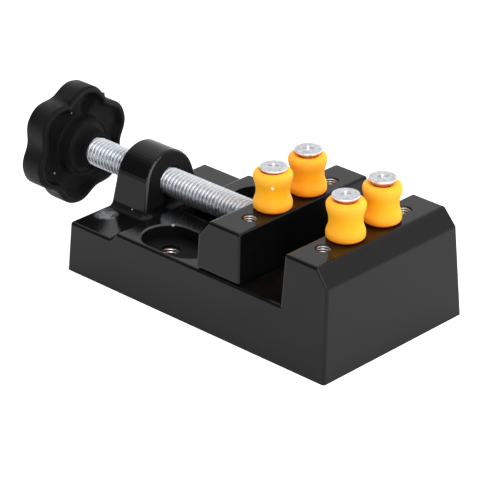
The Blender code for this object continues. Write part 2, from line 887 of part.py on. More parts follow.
def peg_profile():
    """Waisted peg with round shoulders, a dished top and a countersunk mouth."""
    crown_level = peg_height - peg_crown_round
    crown_centre = (peg_top_radius - peg_crown_round, crown_level)
    foot_centre = (peg_bottom_radius - peg_foot_round, peg_foot_round)
    flank = []
    count = edge_points + 1
    for index in range(count):
        share = index / count
        swell = ((1 + math.cos(math.pi * share)) / 2) ** peg_waist_power
        height = crown_level + (peg_waist_level - crown_level) * share
        flank.append((peg_waist_radius + (peg_top_radius - peg_waist_radius) * swell, height))
    for index in range(count + 1):
        share = index / count
        swell = ((1 - math.cos(math.pi * share)) / 2) ** peg_waist_power
        height = peg_waist_level + (peg_foot_level - peg_waist_level) * share
        flank.append((peg_waist_radius + (peg_bottom_radius - peg_waist_radius) * swell, height))
    bore = peg_screw_radius + fit_gap
    mouth = peg_height - peg_dish_depth
    inside = [
        (bore, 0),
        (bore, mouth - (peg_mouth_radius - bore)),
        (peg_mouth_radius, mouth),
        (peg_dish_radius, peg_height),
    ]
    crown = arc(crown_centre, peg_crown_round, 90, 0, edge_points)[:-1]
    return inside + crown + flank + arc(foot_centre, peg_foot_round, 0, -90, edge_points)


def peg_screw_profile(lift):
    """Countersunk screw, a lift above its seat; heights from the jaw's top."""
    mouth = fit_gap + peg_height - peg_dish_depth
    seat = mouth + peg_head_radius - peg_mouth_radius
    rim_bottom = seat + fit_gap * math.sqrt(2) + lift
    rim_top = rim_bottom + peg_head_rim
    return [
        (0, rim_top + peg_head_dome),
        (peg_head_radius / 2, rim_top + peg_head_dome),
        (peg_head_radius - peg_head_dome, rim_top + peg_head_dome / 2),
        (peg_head_radius, rim_top),
        (peg_head_radius, rim_bottom),
        (peg_screw_radius, rim_bottom - (peg_head_radius - peg_screw_radius)),
        (peg_screw_radius, lift - peg_screw_reach),
        (0, lift - peg_screw_reach - peg_screw_radius / 3),
    ]


def build_pegs(parts, yellow, zinc):
    up = Vector((0, 0, 1))
    rows = (
        ("moving_front", moving_peg_station, -peg_inner_offset, moving_front_lift),
        ("moving_back", moving_peg_station, peg_inner_offset, moving_back_lift),
        ("fixed_front", fixed_peg_station, -peg_inner_offset, fixed_front_lift),
        ("fixed_back", fixed_peg_station, peg_inner_offset, fixed_back_lift),
    )
    for label, station, offset, lift in rows:
        foot = world(station, offset, jaw_height + fit_gap)
        turned(f"peg_{label}", peg_profile(), foot, up, peg_steps, parts, yellow)
        top = world(station, offset, jaw_height)
        profile = peg_screw_profile(lift)
        turned(f"peg_screw_{label}", profile, top, up, small_steps, parts, zinc)


def main():
    clear_scene()
    parts = collection("drill press vise")
    cutters = collection("cutters")
    paint = material("black paint", (0.012, 0.012, 0.013), 0.18, 0.0)
    plastic = material("black plastic", (0.02, 0.02, 0.021), 0.42, 0.0)
    yellow = material("yellow plastic", (0.95, 0.44, 0.02), 0.22, 0.0)
    zinc = material("zinc plate", (0.72, 0.75, 0.78), 0.28, 1.0)
    steel = material("plain steel", (0.5, 0.5, 0.51), 0.35, 1.0)
    base = build_base(parts, cutters, paint)
    jaw = build_moving_jaw(parts, cutters, paint)
    build_pins(parts, steel)
    build_guide(parts, cutters, steel)
    build_lead_screw(parts, cutters, zinc)
    knob = build_knob(parts, cutters, plastic)
    build_pegs(parts, yellow, zinc)
    for thing in (base, jaw, knob):
        smooth(thing)


main()
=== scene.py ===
"""Small drill press vise: paint, plastic, plated threads and waisted pegs.

Lengths are in metres: X from the knob to the fixed jaw, Y across the jaws,
Z up from the bench.
"""
import json
import math

import bmesh
import bpy
from mathutils import Matrix, Vector


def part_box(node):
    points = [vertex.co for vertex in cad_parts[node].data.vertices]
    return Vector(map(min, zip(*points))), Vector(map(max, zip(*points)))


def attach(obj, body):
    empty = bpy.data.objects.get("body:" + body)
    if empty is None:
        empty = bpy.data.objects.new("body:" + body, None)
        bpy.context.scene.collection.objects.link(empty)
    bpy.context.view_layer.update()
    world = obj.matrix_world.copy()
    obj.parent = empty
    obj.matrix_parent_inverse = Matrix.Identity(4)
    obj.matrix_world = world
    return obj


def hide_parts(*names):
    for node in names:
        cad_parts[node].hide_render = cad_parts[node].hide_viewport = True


MM = 0.001

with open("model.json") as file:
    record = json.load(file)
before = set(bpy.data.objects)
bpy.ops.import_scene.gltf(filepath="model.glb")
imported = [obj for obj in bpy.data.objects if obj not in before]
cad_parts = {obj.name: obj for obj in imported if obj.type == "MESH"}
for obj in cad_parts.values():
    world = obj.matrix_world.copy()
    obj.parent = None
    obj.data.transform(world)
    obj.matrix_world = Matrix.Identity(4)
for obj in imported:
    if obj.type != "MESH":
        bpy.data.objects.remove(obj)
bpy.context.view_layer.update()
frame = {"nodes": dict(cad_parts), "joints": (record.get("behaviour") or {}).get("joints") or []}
nodes = frame["nodes"]

# Places on the vise
base_low, base_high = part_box("base")
jaw_low, jaw_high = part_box("moving_jaw")
screw_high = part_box("lead_screw")[1]
knob_low, knob_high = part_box("star_knob")
screw_level = next(
    joint["pos_m"][2] for joint in frame["joints"] if joint["name"] == "screw_turn"
)
jaw_top = jaw_high.z
deck_level = 19.3 * MM
pocket_floor = 14.9 * MM
base_roof = 8.0 * MM

# Lead screw
thread_pitch = 1.5 * MM
thread_radius = 4.77 * MM
thread_depth = 0.9 * MM
thread_rings = 10
thread_sides = 72
crest_share = 0.14
root_share = 0.2
root_shade_depth = 0.62 * thread_depth
turns_in_knob = 6
nose_radius = 3.7 * MM
nose_chamfer = 0.6 * MM
nose_setback = 0.9 * MM

# Star knob
knob_radius = 20.07 * MM
lobe_depth = 2.5 * MM
lobe_count = 6
lobe_sharpness = 1.4
knob_phase = math.radians(11.7)
knob_sides = 288
rim_plane = knob_low.x + 9.2 * MM
recess_plane = rim_plane - 1.78 * MM
disc_plane = rim_plane + 1.07 * MM
disc_radius = 9.8 * MM
boss_radius = 6.45 * MM
boss_flare = 2.2 * MM
boss_steps = 12
knob_bore = 5.16 * MM
knob_bore_depth = 6.0 * MM

# A torn flash burr and a nick on the knob's rim: angle, height, width,
# setback from the rim's plane, and run along the axis
burr = (math.radians(34), 0.7 * MM, math.radians(1.3), 0.5 * MM, 0.7 * MM)
nick = (math.radians(-19.6), -1.2 * MM, math.radians(4.0), 1.1 * MM, 0.9 * MM)

# Pits of the mould's gate, with their shade painted darker into the colour, and pale specks on
# the knob: point and radius
gate_pits_shaded = (
    ((recess_plane, 4.3 * MM, screw_level + 14.4 * MM), 3.1 * MM),
    ((recess_plane, 2.6 * MM, screw_level + 12.6 * MM), 2.9 * MM),
)
gate_stretch = (0.7, 1.0, 0.8)
knob_specks = (
    ((recess_plane, -11.6 * MM, screw_level - 6.65 * MM), 0.42 * MM),
    ((recess_plane, -3.3 * MM, screw_level + 12.1 * MM), 0.25 * MM),
    ((knob_low.x + 3 * MM, -17.5 * MM, screw_level + 10.5 * MM), 0.25 * MM),
)

# Paint: a pale speck near the post's foot, a painted glint at the near pocket's far rim,
# a mottled painted reflection on the ledge and a slideway rubbed dull
# The first is a pale speck; the second, on the near pocket's far rim, is a painted glint
speck_and_glint_spots = (
    ((-27.6 * MM, -12.5 * MM, 17.9 * MM), 0.35 * MM),
    ((-8.6 * MM, -13.2 * MM, 18.95 * MM), 0.6 * MM),
)
ledge_reflection_place = (-32.8 * MM, -18.9 * MM, 16.6 * MM)
ledge_reflection_radius = 4.3 * MM
ledge_reflection_gaps = (0.4, 0.56)
slideway_place = (0, 0, deck_level)
slideway_radius = 6.5 * MM
slideway_stretch = (0.2, 1, 1)
slideway_roughness = 0.8

# Pegs
peg_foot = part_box("peg_moving_front")[0].z
peg_rise = 12.55 * MM
peg_sink = 0.18 * MM
peg_bore = 2.45 * MM
peg_sides = 96
peg_fleck = ((33.15 * MM, -12.4 * MM, 45.05 * MM), 0.6 * MM)
peg_fleck_stretch = (1, 1, 0.8)
# Colour up each peg's height, with light and shade painted in: deeper orange at the foot and
# round the screw head, paler on the swells
peg_colours_painted_light = (
    (0.0, (1.0, 0.29, 0.015)),
    (0.16, (1.0, 0.39, 0.025)),
    (0.34, (1.0, 0.41, 0.018)),
    (0.5, (1.0, 0.43, 0.01)),
    (0.64, (1.0, 0.45, 0.015)),
    (0.82, (1.0, 0.45, 0.04)),
    (0.93, (1.0, 0.41, 0.035)),
    (1.0, (1.0, 0.37, 0.015)),
)

# Holes: the tapped rows in the jaw tops and the two bench screw holes
hole_rings = 8
hole_sides = 40
hole_gap = 0.02 * MM
first_ridge_share = 0.4
hole_root_share = 0.45
tapped_hole = {"radius": 2.3 * MM, "pitch": 0.8 * MM, "ridge": 0.4 * MM}
tapped_run = 8.8 * MM
tapped_setback = 0.2 * MM
tapped_line = 18.1 * MM
bench_hole = {"radius": 3.2 * MM, "pitch": 1.0 * MM, "ridge": 0.3 * MM}
bench_hole_place = (-2.825 * MM, 20.05 * MM)
bench_hole_setback = 0.9 * MM

# Peg screws
head_radius = 4.25 * MM
head_round = 0.08 * MM
head_sink = 0.35 * MM
head_crown = 0.22 * MM
head_edge = 0.6 * MM
head_sides = 72
shank_radius = 1.5 * MM
recess_reach = 2.3 * MM
recess_width = 0.95 * MM
recess_depth = 0.65 * MM
recess_top = 0.6 * MM
recess_reach_taper = 0.45
recess_width_taper = 0.6

# Studio: the ways towards its dark front wall and its softbox, with the
# cosines between which each fades in, and the height at which the wall ends
wall_way = (-0.62, -0.78, 0.0)
wall_edge = (0.15, 0.6)
wall_top = (0.55, 0.95)
wall_light = 0.1
softbox_way = (0.62, -0.57, 0.54)
softbox_edge = (0.9, 0.95)
softbox_light = 1.6
fill_light = 1.15
lamp_aim = (0, 0, 0.02)
lamp_size = 0.5

# Floor
floor_reach = 3.0
floor_drop = 0.02 * MM
floor_grey = 0.62
floor_glow = 0.68
floor_mirrored_glow = 0.2
footprint_share = 0.99

# Camera
image_width = 480
focal_pixels = 2884.0
sensor_width = 36.0
view_azimuth = math.radians(43.732)
view_elevation = math.radians(26.383)
view_distance = 896.87 * MM
view_aim = Vector((11.4, -3.78, 17.33)) * MM


# Materials

noise_range = (0.3, 0.7)
spot_core = 0.55


def grey(level):
    return (level, level, level)


class Graph:
    """A node tree, with short calls for the nodes used here."""

    def __init__(self, tree):
        self.tree = tree

    def add(self, kind, **settings):
        node = self.tree.nodes.new(kind)
        for key, value in settings.items():
            setattr(node, key, value)
        return node

    def link(self, source, target):
        self.tree.links.new(source, target)

    def feed(self, target, value):
        """Links a socket to an input, or sets a plain value there."""
        if isinstance(value, bpy.types.NodeSocket):
            self.link(value, target)
        else:
            target.default_value = value

    def number(self, operation, *values):
        node = self.add("ShaderNodeMath", operation=operation)
        for value, target in zip(values, node.inputs):
            self.feed(target, value)
        return node.outputs[0]

    def vector(self, operation, *values):
        node = self.add("ShaderNodeVectorMath", operation=operation)
        for value, target in zip(values, node.inputs):
            self.feed(target, value)
        single = operation in ("LENGTH", "DOT_PRODUCT")
        return node.outputs["Value" if single else "Vector"]

    def split(self, source):
        node = self.add("ShaderNodeSeparateXYZ")
        self.link(source, node.inputs[0])
        return node.outputs

    def most(self, first, second):
        return self.number("MAXIMUM", first, second)

    def span(self, source, low, high, start=0.0, end=1.0, curve="LINEAR"):
        """Maps source from start and end on to low and high."""
        node = self.add("ShaderNodeMapRange", interpolation_type=curve)
        node.inputs["From Min"].default_value = start
        node.inputs["From Max"].default_value = end
        node.inputs["To Min"].default_value = low
        node.inputs["To Max"].default_value = high
        self.link(source, node.inputs["Value"])
        return node.outputs["Result"]


class Finish(Graph):
    """A material's node tree, round its surface shader."""

    def __init__(self, name):
        self.material = bpy.data.materials.new(name)
        self.material.use_nodes = True
        super().__init__(self.material.node_tree)
        self.shader = self.tree.nodes["Principled BSDF"]
        self.place = self.add("ShaderNodeTexCoord").outputs["Object"]

    def set(self, **values):
        for key, value in values.items():
            self.feed(self.shader.inputs[key.replace("_", " ")], value)

    def noise(self, scale, detail=3.0, roughness=0.5, place=None):
        node = self.add("ShaderNodeTexNoise")
        node.inputs["Scale"].default_value = scale
        node.inputs["Detail"].default_value = detail
        node.inputs["Roughness"].default_value = roughness
        self.link(place or self.place, node.inputs["Vector"])
        return node.outputs["Fac"]

    def spot(self, point, radius, stretch=(1, 1, 1)):
        """Soft round mark about a point: 1 at its middle, 0 outside."""
        shifted = self.vector("SUBTRACT", self.place, point)
        away = self.vector("LENGTH", self.vector("MULTIPLY", shifted, stretch))
        return self.span(away, 1.0, 0.0, spot_core * radius, radius)

    def spots(self, places, stretch=(1, 1, 1)):
        """Several soft round marks, each given as its point and radius."""
        union, *others = [self.spot(*place, stretch) for place in places]
        for mark in others:
            union = self.most(union, mark)
        return union

    def blend(self, share, first, second):
        """Mixes two colours, or two sockets, by a share."""
        node = self.add("ShaderNodeMix", data_type="RGBA")
        self.link(share, node.inputs["Factor"])
        for value, target in ((first, node.inputs[6]), (second, node.inputs[7])):
            self.feed(target, (*value, 1) if isinstance(value, tuple) else value)
        return node.outputs[2]

    def bump(self, source, strength, depth, under=None):
        node = self.add("ShaderNodeBump")
        node.inputs["Strength"].default_value = strength
        node.inputs["Distance"].default_value = depth
        self.link(source, node.inputs["Height"])
        if under:
            self.link(under, node.inputs["Normal"])
        return node.outputs["Normal"]


def black_paint(name, shades, roughness, ior):
    """Enamel on a casting: orange peel, soft smears, pale specks, a painted glint, a mottled
    painted reflection on the ledge and a worn slideway.
    """
    finish = Finish(name)
    smear = finish.noise(scale=45, detail=4)
    ripple = finish.noise(scale=190)
    peel = finish.noise(scale=2200, detail=2)
    reflection_mottle = finish.noise(scale=420, detail=4, roughness=0.6)
    colour = finish.blend(smear, grey(shades[0]), grey(shades[1]))
    mottle_share = finish.span(reflection_mottle, 0.0, 1.0, *ledge_reflection_gaps)
    # painted reflection: a mottled pale patch put into the colour on the ledge
    ledge_reflection_colour = finish.blend(mottle_share, colour, (0.125, 0.13, 0.133))
    colour = finish.blend(finish.spot(ledge_reflection_place, ledge_reflection_radius), colour, ledge_reflection_colour)
    # a pale speck and a painted glint, put into the colour
    for point, radius in speck_and_glint_spots:
        colour = finish.blend(finish.spot(point, radius), colour, (0.3, 0.3, 0.29))
    even = finish.span(smear, *roughness, *noise_range)
    slideway = finish.spot(slideway_place, slideway_radius, slideway_stretch)
    worn = finish.span(slideway, 0.0, slideway_roughness)
    waved = finish.bump(ripple, strength=0.16, depth=0.12 * MM)
    peeled = finish.bump(peel, strength=0.6, depth=0.03 * MM, under=waved)
    finish.set(Base_Color=colour, Roughness=finish.most(even, worn), Normal=peeled)
    finish.set(IOR=ior)
    return finish.material


def black_plastic(name, shades, roughness, gloss):
    """Semi-matt moulding: fine grain, flow marks, gate pits with painted shade, and pale specks.
    """
    finish = Finish(name)
    flow = finish.noise(scale=70, detail=4)
    blotch = finish.noise(scale=260)
    grain = finish.noise(scale=2600)
    plain = finish.blend(flow, grey(shades[0]), grey(shades[1]))
    pit_and_shade = finish.spots(gate_pits_shaded, gate_stretch)
    # painted shade: the colour in the gate pits is darkened
    painted_shade_colour = finish.blend(pit_and_shade, plain, grey(0.0005))
    colour = finish.blend(finish.spots(knob_specks), painted_shade_colour, (0.35, 0.35, 0.34))
    even = finish.span(blotch, *roughness, *noise_range)
    dull = finish.blend(pit_and_shade, even, grey(0.8))
    grained = finish.bump(grain, strength=0.1, depth=0.04 * MM)
    flowed = finish.bump(flow, strength=0.25, depth=0.5 * MM, under=grained)
    pit = finish.span(pit_and_shade, 1.0, 0.0)
    pitted = finish.bump(pit, strength=0.7, depth=0.6 * MM, under=flowed)
    finish.set(Base_Color=colour, Roughness=dull, Normal=pitted)
    finish.set(Specular_IOR_Level=gloss)
    return finish.material


def yellow_plastic(name, painted_light_level):
    """Glossy moulding that light enters, with light and shade painted into its colour by height:
    yellow on its swells, deeper orange at its foot and under the screw head.
    """
    finish = Finish(name)
    cloud = finish.noise(scale=160, detail=2)
    fine = finish.noise(scale=1500, detail=2)
    height = finish.split(finish.place)["Z"]
    ramp = finish.add("ShaderNodeValToRGB")
    rise = finish.span(height, 0.0, 1.0, peg_foot, peg_foot + peg_rise)
    finish.link(rise, ramp.inputs["Fac"])
    stops = ramp.color_ramp.elements
    for index, (place, colour) in enumerate(peg_colours_painted_light):
        stop = stops[index] if index < 2 else stops.new(place)
        stop.position = place
        stop.color = (colour[0], colour[1] * painted_light_level, colour[2] * painted_light_level, 1)
    clouded = finish.span(cloud, 0.0, 0.12)
    tinted = finish.blend(clouded, ramp.outputs["Color"], (1.0, 0.55, 0.06))
    fleck = finish.spot(*peg_fleck, peg_fleck_stretch)
    flecked = finish.blend(fleck, tinted, (1.0, 0.95, 0.85))
    finish.set(
        Base_Color=flecked,
        Roughness=finish.span(fine, 0.32, 0.42, *noise_range),
        Normal=finish.bump(fine, strength=0.03, depth=0.02 * MM),
        Subsurface_Weight=0.7,
        Subsurface_Radius=(1.0, 0.3, 0.06),
        Subsurface_Scale=3.0 * MM,
        Specular_IOR_Level=0.12,
    )
    return finish.material


def zinc_plate(name, dull, bright, roughness, metal=1.0):
    """Zinc plate: bluish, with cloudy crystals and fine scuffs."""
    finish = Finish(name)
    cloud = finish.noise(scale=900)
    scuff = finish.noise(scale=2600, detail=2)
    finish.set(
        Base_Color=finish.blend(finish.span(cloud, 0.0, 1.0, 0.35, 0.65), dull, bright),
        Roughness=finish.span(cloud, *roughness, *noise_range),
        Normal=finish.bump(scuff, strength=0.12, depth=0.03 * MM),
        Metallic=metal,
    )
    return finish.material


def cut_metal():
    """Bare metal where a drill or tap went through the paint."""
    finish = Finish("cut_metal")
    cloud = finish.noise(scale=800)
    finish.set(
        Base_Color=finish.blend(cloud, (0.74, 0.68, 0.66), (0.95, 0.91, 0.9)),
        Roughness=finish.span(cloud, 0.16, 0.3, *noise_range),
        Metallic=1.0,
    )
    return finish.material


def thread_root_shade():
    """Bottom of a cut thread, darkened: painted shade."""
    finish = Finish("thread_root_shade")
    cloud = finish.noise(scale=900)
    finish.set(
        Base_Color=finish.blend(cloud, (0.02, 0.018, 0.017), (0.06, 0.05, 0.045)),
        Roughness=finish.span(cloud, 0.3, 0.5, *noise_range),
    )
    return finish.material


def plain_steel():
    """Plain steel of the hidden guide parts, with a drawn grain."""
    finish = Finish("plain_steel")
    drawn = finish.add("ShaderNodeMapping")
    drawn.inputs["Scale"].default_value = (0.1, 1.0, 1.0)
    finish.link(finish.place, drawn.inputs["Vector"])
    grain = finish.noise(scale=2500, place=drawn.outputs["Vector"])
    finish.set(
        Base_Color=finish.blend(grain, (0.42, 0.42, 0.43), (0.58, 0.58, 0.6)),
        Roughness=finish.span(grain, 0.25, 0.42, *noise_range),
        Normal=finish.bump(grain, strength=0.1, depth=0.03 * MM),
        Metallic=1.0,
    )
    return finish.material


paint = black_paint("black_paint", (0.0018, 0.0035), (0.05, 0.12), ior=1.335)
pocket_paint = black_paint("pocket_paint", (0.003, 0.006), (0.4, 0.6), ior=1.19)
thin_paint = black_paint("thin_paint", (0.003, 0.008), (0.3, 0.45), ior=1.2)
# A paler copy for the post's top edge and the pockets' rims: painted highlight
edge_highlight_paint = black_paint("edge_highlight_paint", (0.015, 0.05), (0.2, 0.4), ior=1.5)
plastic = black_plastic("black_plastic", (0.004, 0.0075), (0.36, 0.56), gloss=0.17)
# The knob's recessed inner face: partly a real matter moulding, with its colour painted darker
# as shade
face_plastic_shaded = black_plastic(
    "black_plastic_face_shaded", (0.0025, 0.005), (0.42, 0.6), gloss=0.11
)
yellow = yellow_plastic("yellow_plastic", painted_light_level=1.0)
# A deeper copy for the moving jaw's back peg: painted shade from the pegs round it
shaded_yellow = yellow_plastic("yellow_plastic_shaded", painted_light_level=0.92)
zinc = zinc_plate("zinc_plate", (0.52, 0.54, 0.57), (0.72, 0.735, 0.76), (0.2, 0.3))
thread_zinc = zinc_plate("zinc_thread", (0.66, 0.7, 0.75), (0.84, 0.87, 0.9), (0.28, 0.4))
# A darker copy of the thread's zinc for the thread's roots: painted shade
root_shade_zinc = zinc_plate("zinc_root_painted_shade", (0.47, 0.5, 0.55), (0.6, 0.63, 0.68), (0.25, 0.4))
# A rough, paler copy for the cone under each head: painted light where the head shades it
lightened_cone_zinc = zinc_plate("zinc_under_head_painted_light", grey(0.8), grey(0.95), (0.5, 0.65))
# A near-white copy, not metal, for the heads' rims and one arm of each cross: painted highlight
rim_highlight_zinc = zinc_plate("zinc_rim_painted_highlight", (0.6, 0.61, 0.63), grey(0.97), (0.5, 0.65), metal=0.0)
bare = cut_metal()
# the holes' thread roots: painted shade
root = thread_root_shade()
steel = plain_steel()


# Mesh helpers

def piece(name, bm, finish, body, smooth_angle=35.0):
    """Adds a finished mesh to the scene and hangs it on a body."""
    bmesh.ops.recalc_face_normals(bm, faces=bm.faces)
    mesh = bpy.data.meshes.new(name)
    bm.to_mesh(mesh)
    bm.free()
    mesh.materials.append(finish)
    mesh.shade_smooth()
    mesh.set_sharp_from_angle(angle=math.radians(smooth_angle))
    thing = bpy.data.objects.new(name, mesh)
    bpy.context.scene.collection.objects.link(thing)
    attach(thing, body)
    return thing


def level_ring(bm, centre, radii, level):
    """Closed ring about a vertical axis, with a vertex for each radius."""
    ring = []
    for side, radius in enumerate(radii):
        angle = math.tau * side / len(radii)
        offset = Vector((radius * math.cos(angle), radius * math.sin(angle), level))
        ring.append(bm.verts.new(centre + offset))
    return ring


def upright_ring(bm, station, radii):
    """Closed ring about the lead screw's axis, with a vertex for each radius."""
    centre = Vector((0, 0, screw_level))
    ring = []
    for side, radius in enumerate(radii):
        angle = math.tau * side / len(radii)
        offset = Vector((station, radius * math.cos(angle), radius * math.sin(angle)))
        ring.append(bm.verts.new(centre + offset))
    return ring


def join_rings(bm, lower, upper):
    """Faces between two closed rings, either of which may be a single point."""
    if len(lower) == 1 and len(upper) == 1:
        return
    count = max(len(lower), len(upper))
    for index in range(count):
        following = (index + 1) % count
        if len(lower) == 1:
            corners = (lower[0], upper[following], upper[index])
        elif len(upper) == 1:
            corners = (lower[index], lower[following], upper[0])
        else:
            corners = (lower[index], lower[following], upper[following], upper[index])
        bm.faces.new(corners)


def lathe(profile, centre, sides):
    """Surface of revolution about a vertical axis from (radius, height) pairs."""
    bm = bmesh.new()
    rings = []
    for radius, height in profile:
        if radius == 0:
            rings.append([bm.verts.new(centre + Vector((0, 0, height)))])
        else:
            rings.append(level_ring(bm, centre, [radius] * sides, height))
    for lower, upper in zip(rings, rings[1:]):
        join_rings(bm, lower, upper)
    return bm


def arc(centre, radius, start, end, count):
    """Points on an arc between two angles in degrees."""
    points = []
    for index in range(count + 1):
        angle = math.radians(start + (end - start) * index / count)
        along, up = radius * math.cos(angle), radius * math.sin(angle)
        points.append((centre[0] + along, centre[1] + up))
    return points


def ease(share, sharpness):
    """Smooth fall from 1 to 0 as the share goes from 0 to 1."""
    return ((1 + math.cos(math.pi * share)) / 2) ** sharpness


# Castings and guide parts

lowest, highest = -math.inf, math.inf
anywhere = (lowest, highest)


def region(x=anywhere, across=anywhere, z=anywhere, way_x=anywhere, way_z=anywhere):
    """Test for a face by the limits of its middle and of its normal."""
    limits = (x, across, z, way_x, way_z)

    def holds(point, way):
        values = (point.x, abs(point.y), point.z, way.x, way.z)
        return all(low < value < high for value, (low, high) in zip(values, limits))

    return holds


def dress_node(name, finish):
    """Gives a piece its finish and smooths its rounded edges."""
    thing = nodes[name]
    thing.data.materials.clear()
    thing.data.materials.append(finish)
    thing.data.shade_smooth()
    thing.data.set_sharp_from_angle(angle=math.radians(40))
    level = thing.modifiers.new("even shading", "WEIGHTED_NORMAL")
    level.keep_sharp = True
    level.weight = 80


def recoat(name, finish, *regions):
    """Gives the faces of a piece that lie in a region their own finish."""
    mesh = nodes[name].data
    mesh.materials.append(finish)
    for face in mesh.polygons:
        if any(holds(face.center, face.normal) for holds in regions):
            face.material_index = len(mesh.materials) - 1


post_end = -20.2 * MM
post_span = (post_end - 3.5 * MM, post_end + 0.9 * MM)
pocket_band = (11 * MM, 29 * MM)
in_pocket = region(
    x=(-13 * MM, 17 * MM),
    across=pocket_band,
    z=(pocket_floor - 0.1 * MM, deck_level - 0.25 * MM),
)
on_pocket_rim = region(
    x=(-17 * MM, 17 * MM),
    across=pocket_band,
    z=(deck_level - 0.5 * MM, deck_level - 0.03 * MM),
    way_z=(0.15, 0.95),
)
on_post_end = region(x=post_span, z=(deck_level, highest), way_x=(0.93, highest))
on_post_fillet = region(
    x=post_span,
    across=(lowest, 12 * MM),
    z=(deck_level + 0.01 * MM, deck_level + 2.2 * MM),
    way_x=(0.03, highest),
)
on_post_foot = region(
    x=(knob_high.x + 4 * MM, post_end - 2.5 * MM),
    across=(10 * MM, 18 * MM),
    z=(lowest, 22.5 * MM),
    way_z=(0.3, 0.985),
)
on_post_edge = region(
    x=post_span, z=(deck_level + 2.5 * MM, highest), way_x=(0.2, 0.9)
)

dress_node("base", paint)
dress_node("moving_jaw", paint)
recoat("base", pocket_paint, in_pocket)
recoat("base", thin_paint, on_post_end, on_post_fillet, on_post_foot)
# painted highlight on the post's top edge and the pockets' rims
recoat("base", edge_highlight_paint, on_post_edge, on_pocket_rim)
dress_node("retaining_pin_front", steel)
dress_node("retaining_pin_back", steel)
dress_node("guide_plate", steel)
dress_node("spring_washer", steel)
dress_node("guide_screw", zinc)


# Star knob

def knob_rings():
    """Outlines of the knob, from its dished outer face to the bore in its boss.

    Each is its kind, its station on the axis, and its radius or, for a lobed
    outline, its inset from the full one.
    """
    outer = knob_low.x + 0.02 * MM
    rim = rim_plane
    floor = recess_plane
    disc = disc_plane
    end = knob_high.x - 0.02 * MM
    dished_face = [
        (outer + 1.2 * MM, 4.0 * MM),
        (outer + 1.2 * MM, 8.5 * MM),
        (outer + 0.3 * MM, 10.6 * MM),
        (outer, 11.3 * MM),
    ]
    outer_round = arc((1.3 * MM, 1.3 * MM), 1.3 * MM, 270, 180, 6)
    rim_round = arc((1.2 * MM, 1.2 * MM), 1.2 * MM, 180, 262, 6)
    lobed_edge = [(outer + setback, inset) for inset, setback in outer_round]
    lobed_edge.append(((outer + rim) / 2, -0.02 * MM))
    lobed_edge += [(rim - setback, inset) for inset, setback in rim_round]
    rolled_lip = [
        (rim - 0.02 * MM, 1.5 * MM),
        (rim - 0.12 * MM, 1.9 * MM),
        (rim - 0.55 * MM, 2.3 * MM),
        (rim - 1.2 * MM, 2.65 * MM),
        (floor + 0.12 * MM, 3.2 * MM),
        (floor, 3.9 * MM),
    ]
    raised_disc = [
        (floor, disc_radius + 1.0 * MM),
        (floor + 0.08 * MM, disc_radius + 0.55 * MM),
        (floor + 0.35 * MM, disc_radius + 0.3 * MM),
        (disc - 0.35 * MM, disc_radius + 0.02 * MM),
        (disc + 0.1 * MM, disc_radius - 0.08 * MM),
        (disc + 0.18 * MM, disc_radius - 0.25 * MM),
        (disc + 0.05 * MM, disc_radius - 0.5 * MM),
        (disc, disc_radius - 0.75 * MM),
    ]
    flared_boss = []
    for index in range(boss_steps + 1):
        share = index / boss_steps
        station = disc + (end - 0.01 * MM - disc) * share ** 2
        flared_boss.append((station, boss_radius + boss_flare * (1 - share) ** 2))
    bore = [
        (end, boss_radius - 0.25 * MM),
        (end, knob_bore),
        (knob_high.x - knob_bore_depth, knob_bore),
    ]
    groups = (
        ("round", dished_face),
        ("lobe", lobed_edge + rolled_lip),
        ("round", raised_disc + flared_boss + bore),
    )
    return [(kind, *ring) for kind, rings in groups for ring in rings]


def rim_mark(mark, station, angle):
    """What a mark on the rim adds to the knob's radius."""
    place, height, width, setback, run = mark
    turn = (angle - place + math.pi) % math.tau - math.pi
    along = station - rim_plane + setback
    return height * math.exp(-(along / run) ** 2) * math.exp(-(turn / width) ** 2)


def lobed_radius(station, inset, angle):
    wave = (1 - math.cos(lobe_count * (angle - knob_phase))) / 2
    radius = knob_radius - inset - lobe_depth * wave ** lobe_sharpness
    return radius + rim_mark(burr, station, angle) + rim_mark(nick, station, angle)


def on_inner_face(point, way):
    """Tells the recess, disc and boss of the knob from its rim and its back."""
    back_slope = -0.2
    lip_depth = 0.3 * MM
    slack = 0.01 * MM
    if point.x < recess_plane - 10 * slack or way.x < back_slope:
        return False
    away = math.hypot(point.y, point.z - screw_level)
    if point.x > rim_plane + slack or away < disc_radius:
        return True
    return point.x < rim_plane - lip_depth and way.x > 0


def build_knob():
    """Moulded star knob with a soft lip, a torn flash burr and a nick at its rim."""
    bm = bmesh.new()
    rows = []
    for kind, station, size in knob_rings():
        row = []
        for side in range(knob_sides):
            angle = math.tau * side / knob_sides
            radius = size if kind == "round" else lobed_radius(station, size, angle)
            across = radius * math.sin(angle)
            level = screw_level + radius * math.cos(angle)
            row.append(bm.verts.new((station, across, level)))
        rows.append(row)
    for lower, upper in zip(rows, rows[1:]):
        join_rings(bm, lower, upper)
    bm.faces.new(rows[0])
    thing = piece("moulded_knob", bm, plastic, "screw", smooth_angle=50.0)
    thing.data.materials.append(face_plastic_shaded)
    # the recess, disc and boss take the matter copy with painted shade
    for face in thing.data.polygons:
        if on_inner_face(face.center, face.normal):
            face.material_index = 1
    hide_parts("star_knob")


build_knob()


# Lead screw

def thread_height(phase):
    """Share of the thread's depth at a phase of its pitch, with flat crest and root."""
    ramp = (1 - crest_share - root_share) / 2
    if phase < crest_share:
        return 1.0
    if phase < crest_share + ramp:
        return 1 - (phase - crest_share) / ramp
    if phase < crest_share + ramp + root_share:
        return 0.0
    return (phase - crest_share - ramp - root_share) / ramp


